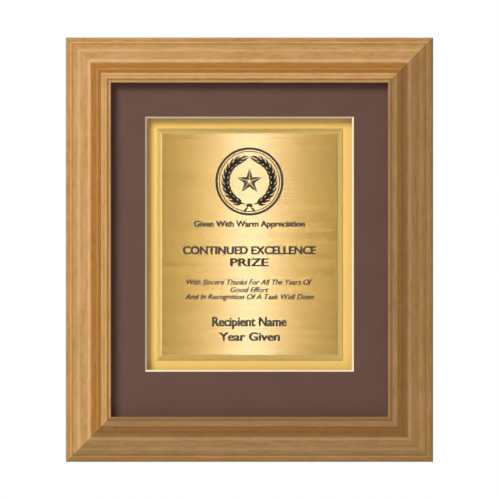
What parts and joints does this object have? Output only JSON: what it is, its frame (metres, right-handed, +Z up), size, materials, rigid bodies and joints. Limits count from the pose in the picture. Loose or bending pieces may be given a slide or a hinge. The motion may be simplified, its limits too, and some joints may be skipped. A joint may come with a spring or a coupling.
{
  "type": "framed award plaque",
  "caption": "Moulded oak frame with a window mat, gold ground and engraved brass plate, hung on D-rings.",
  "frame": {"origin": "on the frame's back plane, midway between its left and right edges and between its top and bottom edges", "axes": "+X to the right for someone facing the plaque, +Y into the wall behind it, +Z up"},
  "size_m": [0.4022, 0.035, 0.4648],
  "materials": {
    "oak": "satin",
    "nail_steel": "satin",
    "mat_paper": "matte",
    "foam_board": "matte",
    "brass": "satin",
    "tape": "matte",
    "gold_card": "satin",
    "corrugated_board": "matte",
    "hardboard": "matte",
    "zinc_steel": "satin",
    "nickel_wire": "polished",
    "rubber": "matte"
  },
  "bodies": {
    "frame": {"frame_rail_top": "oak", "frame_rail_bottom": "oak", "frame_rail_left": "oak", "frame_rail_right": "oak", "corner_v_nails": "nail_steel", "mat_board": "mat_paper", "mat_spacer_top": "foam_board", "mat_spacer_bottom": "foam_board", "mat_spacer_left": "foam_board", "mat_spacer_right": "foam_board", "award_plate": "brass", "plate_mounting_tape": "tape", "gold_mount_card": "gold_card", "filler_board": "corrugated_board", "back_panel": "hardboard", "turn_button_screws": "zinc_steel", "hanger_strap_left": "zinc_steel", "hanger_strap_right": "zinc_steel", "hanger_screws": "zinc_steel", "wall_bumper_left": "rubber", "wall_bumper_right": "rubber"},
    "turn_button_left_upper_body": {"turn_button_left_upper": "zinc_steel"},
    "turn_button_left_lower_body": {"turn_button_left_lower": "zinc_steel"},
    "turn_button_right_upper_body": {"turn_button_right_upper": "zinc_steel"},
    "turn_button_right_lower_body": {"turn_button_right_lower": "zinc_steel"},
    "turn_button_top_body": {"turn_button_top": "zinc_steel"},
    "turn_button_bottom_body": {"turn_button_bottom": "zinc_steel"},
    "hanger_ring_left_body": {"hanger_ring_left": "nickel_wire"},
    "hanger_ring_right_body": {"hanger_ring_right": "nickel_wire"}
  },
  "joints": [
    {"name": "turn_button_left_upper_turn", "type": "hinge", "parent": "frame", "child": "turn_button_left_upper_body", "pos_m": [-0.1652, 0.0006, 0.135], "axis": [0, 1, 0], "continuous": true},
    {"name": "turn_button_left_lower_turn", "type": "hinge", "parent": "frame", "child": "turn_button_left_lower_body", "pos_m": [-0.1652, 0.0006, -0.135], "axis": [0, 1, 0], "continuous": true},
    {"name": "turn_button_right_upper_turn", "type": "hinge", "parent": "frame", "child": "turn_button_right_upper_body", "pos_m": [0.1652, 0.0006, 0.135], "axis": [0, 1, 0], "continuous": true},
    {"name": "turn_button_right_lower_turn", "type": "hinge", "parent": "frame", "child": "turn_button_right_lower_body", "pos_m": [0.1652, 0.0006, -0.135], "axis": [0, 1, 0], "continuous": true},
    {"name": "turn_button_top_turn", "type": "hinge", "parent": "frame", "child": "turn_button_top_body", "pos_m": [0, 0.0006, 0.1965], "axis": [0, 1, 0], "continuous": true},
    {"name": "turn_button_bottom_turn", "type": "hinge", "parent": "frame", "child": "turn_button_bottom_body", "pos_m": [0, 0.0006, -0.1965], "axis": [0, 1, 0], "continuous": true},
    {"name": "hanger_ring_left_swing", "type": "hinge", "parent": "frame", "child": "hanger_ring_left_body", "pos_m": [-0.17965, 0.00215, 0.07], "axis": [1, 0, 0], "range_deg": [0, 174]},
    {"name": "hanger_ring_right_swing", "type": "hinge", "parent": "frame", "child": "hanger_ring_right_body", "pos_m": [0.17965, 0.00215, 0.07], "axis": [1, 0, 0], "range_deg": [0, 174]}
  ]
}
